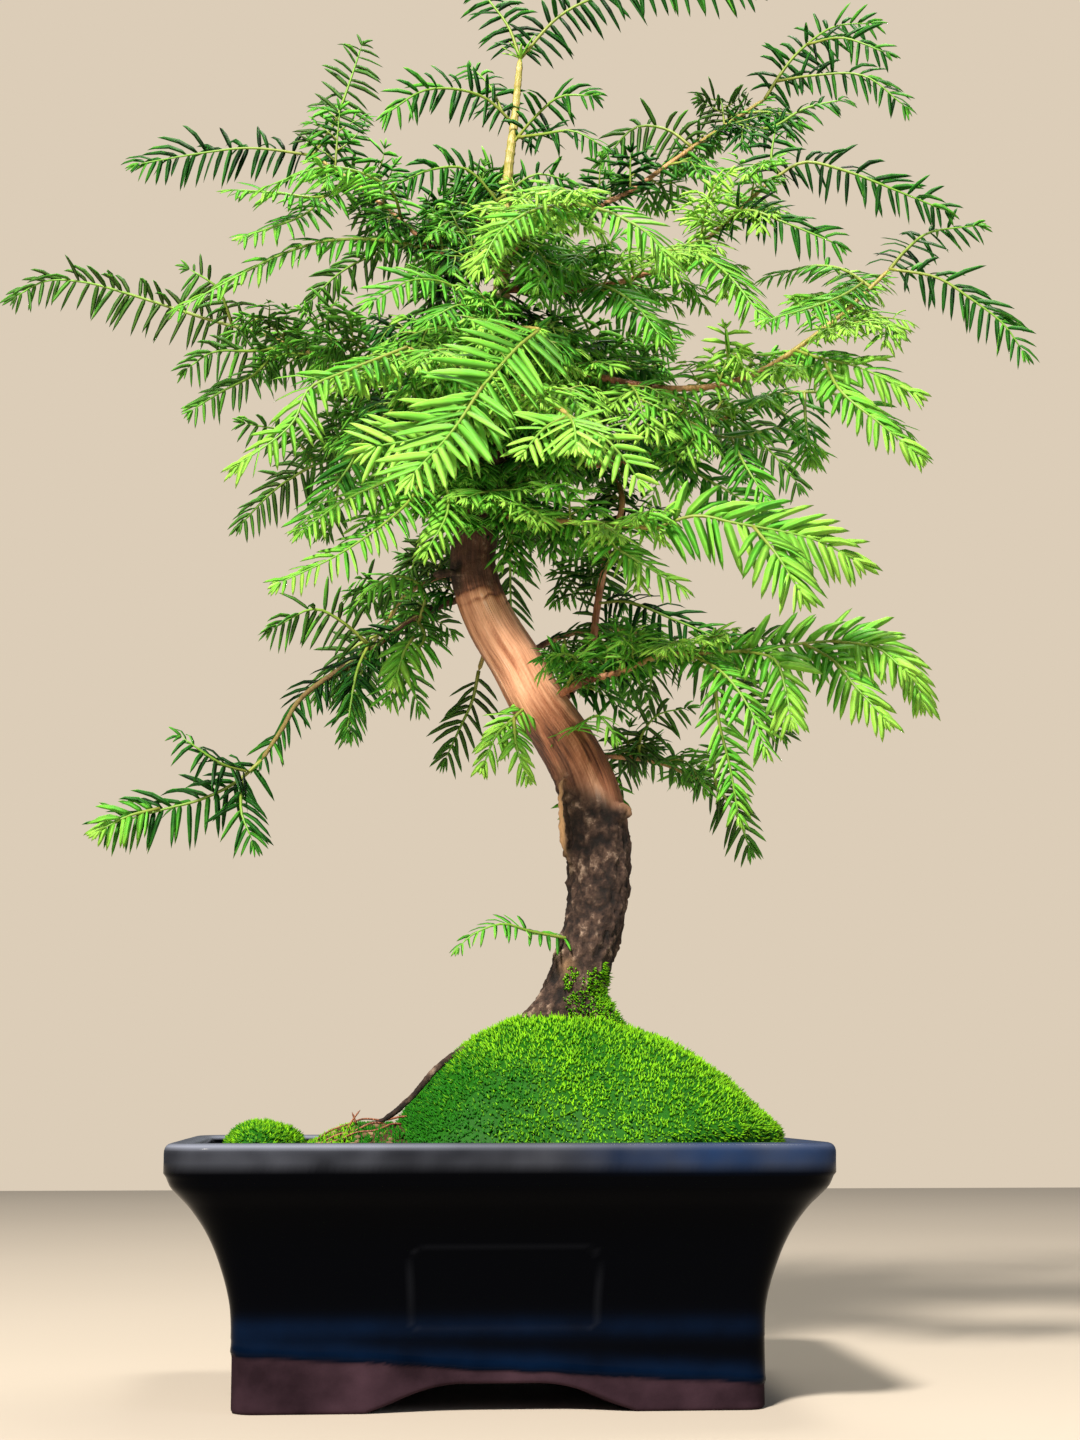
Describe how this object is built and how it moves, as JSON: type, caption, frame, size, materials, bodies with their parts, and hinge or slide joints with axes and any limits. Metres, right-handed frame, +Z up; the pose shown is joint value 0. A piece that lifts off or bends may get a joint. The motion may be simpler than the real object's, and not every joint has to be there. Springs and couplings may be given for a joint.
{
  "type": "dawn redwood bonsai",
  "caption": "Dawn redwood bonsai with a bent trunk, airy shoots of opposite flat needles and a mossy root mound, in a rectangular dark-glazed clay pot on corner feet.",
  "frame": {"origin": "under the middle of the pot, on the plane that its feet stand on", "axes": "+Z up the tree, +X to the right along the pot's long side, the pot's front face towards -Y"},
  "size_m": [0.3511, 0.221, 0.4972],
  "materials": {
    "glazed_clay": "dark glaze over purple-brown clay",
    "drain_mesh": "plastic drain mesh",
    "soil": "moist crumbly soil",
    "moss": "living moss cushion",
    "bark": "copper-brown to black flaky bark",
    "needles": "fresh soft needles on slim stems"
  },
  "bodies": {
    "root": {"pot": "glazed_clay", "drain_screen_left": "drain_mesh", "drain_screen_right": "drain_mesh", "soil": "soil", "moss_mound": "moss", "moss_tuft": "moss", "trunk_and_branches": "bark", "spray_apex": "needles", "spray_leader_left": "needles", "spray_leader_right": "needles", "spray_leader_low": "needles", "spray_upper_left_tip": "needles", "spray_upper_left_mid": "needles", "spray_upper_left_front": "needles", "spray_upper_left_low": "needles", "spray_long_left_tip": "needles", "spray_long_left_mid": "needles", "spray_front_left_tip": "needles", "spray_low_left_tip": "needles", "spray_low_left_mid": "needles", "spray_hero_left": "needles", "spray_hero_star": "needles", "spray_dome": "needles", "spray_upper_right_tip": "needles", "spray_upper_right_mid": "needles", "spray_upper_right_top": "needles", "spray_mid_right_tip": "needles", "spray_mid_right_low": "needles", "spray_mid_right_front": "needles", "spray_far_right_tip": "needles", "spray_far_right_back": "needles", "spray_far_right_low": "needles", "spray_under_right_tip": "needles", "spray_under_right_mid": "needles", "spray_under_right_low": "needles", "spray_front_low_right_tip": "needles", "spray_front_low_right_mid": "needles", "spray_upright_low": "needles", "spray_upright_tip": "needles", "spray_low_right_tip": "needles", "spray_low_right_mid": "needles", "spray_behind_right_tip": "needles", "spray_behind_right_mid": "needles", "spray_near_trunk_left": "needles", "spray_near_trunk_low": "needles", "spray_low_left_long_tip": "needles", "spray_low_left_long_mid": "needles", "spray_low_left_long_near": "needles", "spray_low_back_left": "needles", "spray_trunk_hang": "needles", "spray_basal_sprig": "needles", "spray_crown_left": "needles", "spray_crown_right": "needles", "spray_back_top": "needles", "spray_back_left": "needles", "spray_back_right": "needles", "spray_back_middle": "needles", "spray_back_low_right": "needles", "spray_back_low_left": "needles"}
  },
  "joints": []
}
